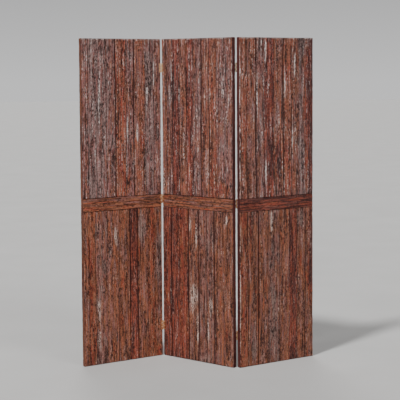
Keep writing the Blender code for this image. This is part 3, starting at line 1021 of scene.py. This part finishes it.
def screws_mesh(side, name):
    """Three countersunk screws with cross slots, each turned its own way."""
    draw = random.Random(name)
    profile = ((0.0, -9.0), (0.5, -8.3), (0.95, -6.8), (1.05, -1.7), (1.12, -1.55), (1.9, -0.22),
               (2.0, -0.10), (1.92, 0.02), (1.2, 0.10), (0.0, 0.13))
    whole = bmesh.new()
    for up in SCREW_HEIGHTS:
        screw = linked("screw", mesh_of("screw", turned_shape(profile, 28)))
        arms = []
        for quarter in (0, 90):
            arm = block(f"arm_{quarter}", (-1.25 * MM, -0.24 * MM, -0.7 * MM),
                        (1.25 * MM, 0.24 * MM, 0.6 * MM))
            arm.rotation_euler = (0, 0, math.radians(quarter))
            arms.append((arm, "DIFFERENCE"))
        bpy.context.view_layer.update()
        slotted = combined(screw, arms)
        slotted.transform(screw_place(side, up) @ Matrix.Rotation(draw.uniform(0, math.pi), 4, "Z"))
        whole.from_mesh(slotted)
        bpy.data.meshes.remove(slotted)
    return mesh_of("screws", whole)


def pin_mesh(length):
    """The hinge pin: a straight shank with a rounded tip, and a domed head above the barrel."""
    head = length / MM + 0.3
    profile = [(0.0, -0.8), (0.7, -0.8), (1.15, -0.6), (1.3, -0.2), (1.3, head), (2.3, head)]
    for step in range(9):
        angle = math.pi / 2 * step / 8
        profile.append((2.6 * math.cos(angle), head + 0.25 + 1.35 * math.sin(angle)))
    return mesh_of("pin", turned_shape(profile, ROUND_STEPS))


def add_hinge_piece(name, mesh, matrix, material, tarnish_and_highlight, body, node=None, bevel=0.0):
    """Place a piece of a hinge, browned as much as its hinge is and brightened as its hinge's painted highlight
    is.
    """
    piece = linked(name, mesh.copy())
    browned = piece.data.attributes.new("tarnish_and_highlight", "FLOAT", "POINT")
    browned.data.foreach_set("value", np.full(len(mesh.vertices), tarnish_and_highlight, np.float32))
    piece.data.materials.clear()
    piece.data.materials.append(material)
    piece.data.shade_smooth()
    piece.data.set_sharp_from_angle(angle=SHARP_ANGLE)
    if bevel:
        rounding = piece.modifiers.new("eased_edges", "BEVEL")
        rounding.width = bevel
        rounding.segments = 2
        rounding.limit_method = "ANGLE"
        rounding.angle_limit = SHARP_ANGLE
    piece.matrix_world = matrix
    if node:
        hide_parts(node)
    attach(piece, body)


def add_hinge(hinge, place, panels, turned, leaves, pin, material, tarnish_and_highlight):
    """One hinge: a leaf with its screws on each of two panels, and the pin between them."""
    for side, panel in zip(("left", "right"), panels):
        heading = panel_matrix(panel).to_euler().z + math.pi * turned
        matrix = place @ Matrix.Rotation(heading, 4, "Z")
        sign = (-1 if side == "left" else 1) * (-1 if turned else 1)
        node, body = f"{hinge}_{side}_leaf", f"{panel}_panel"
        add_hinge_piece(node + "_brass", leaves[sign], matrix, material, tarnish_and_highlight, body, node,
                        EASED_EDGE)
        screws = screws_mesh(sign, node)
        add_hinge_piece(f"{hinge}_{side}_screws", screws, matrix, material, tarnish_and_highlight, body)
    node = f"{hinge}_pin"
    add_hinge_piece(node + "_brass", pin, place, material, tarnish_and_highlight, "middle_panel", node)


def build_hinges(material):
    """Six small hinges, screwed to the front at the left fold and to the back at the right one."""
    joints = {joint["name"]: joint for joint in frame["joints"]}
    low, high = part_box("left_fold_top_hinge_left_leaf")
    length = high[2] - low[2]
    leaves = {-1: leaf_mesh(-1, (0, 2, 4), length), 1: leaf_mesh(1, (1, 3), length)}
    pin = pin_mesh(length)
    for fold, panels in (("left", ("left", "middle")), ("right", ("middle", "right"))):
        x, y, _ = joints[f"{fold}_fold"]["pos_m"]
        for level, tarnish_and_highlight in TARNISH_AND_HIGHLIGHT.items():
            hinge = f"{fold}_fold_{level}_hinge"
            place = Matrix.Translation((x, y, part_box(f"{hinge}_left_leaf")[0][2]))
            add_hinge(hinge, place, panels, fold == "right", leaves, pin, material, tarnish_and_highlight)


# -------- stage

def soft_sun(name, heading, strength, softness):
    """A broad, distant lamp shining along a heading. Its softness is the angle it fills."""
    data = bpy.data.lights.new(name, "SUN")
    data.energy, data.angle = strength, math.radians(softness)
    lamp = linked(name, data)
    lamp.rotation_euler = Vector(heading).to_track_quat("-Z", "Y").to_euler()


def build_stage(materials):
    """Pale floor and surround, a soft key from above on the left, and weaker lamps around."""
    shape = bmesh.new()
    bmesh.ops.create_circle(shape, cap_ends=True, segments=96, radius=FLOOR_RADIUS)
    floor = linked("floor", mesh_of("floor", shape))
    floor.data.materials.append(materials["floor"])
    for name, lamp in LAMPS.items():
        soft_sun(name, *lamp)
    world = bpy.data.worlds.new("surround")
    world.use_nodes = True
    tree = world.node_tree
    heading = tree.nodes.new("ShaderNodeTexCoord")
    upward = tree.nodes.new("ShaderNodeSeparateXYZ")
    fade = tree.nodes.new("ShaderNodeMapRange")
    tree.links.new(heading.outputs["Generated"], upward.inputs[0])
    tree.links.new(upward.outputs["Z"], fade.inputs["Value"])
    for key, value in SURROUND_FADE.items():
        fade.inputs[key].default_value = value
    background = tree.nodes["Background"]
    background.inputs["Color"].default_value = SURROUND_COLOUR
    tree.links.new(fade.outputs["Result"], background.inputs["Strength"])
    bpy.context.scene.world = world


def build_camera():
    data = bpy.data.cameras.new("camera")
    data.lens, data.sensor_width, data.shift_y = CAMERA_LENS, 36.0, CAMERA_SHIFT
    camera = linked("camera", data)
    camera.matrix_world = (Matrix.Translation(CAMERA_PLACE) @ Matrix.Rotation(CAMERA_YAW, 4, "Z")
                           @ Matrix.Rotation(math.pi / 2 + CAMERA_TILT, 4, "X")
                           @ Matrix.Rotation(CAMERA_ROLL, 4, "Z"))
    bpy.context.scene.camera = camera


build_camera()
materials = make_materials()
build_stage(materials)
for panel in PANELS:
    clad_panel(panel, materials)
    build_frames(panel, materials)
build_hinges(materials["brass"])
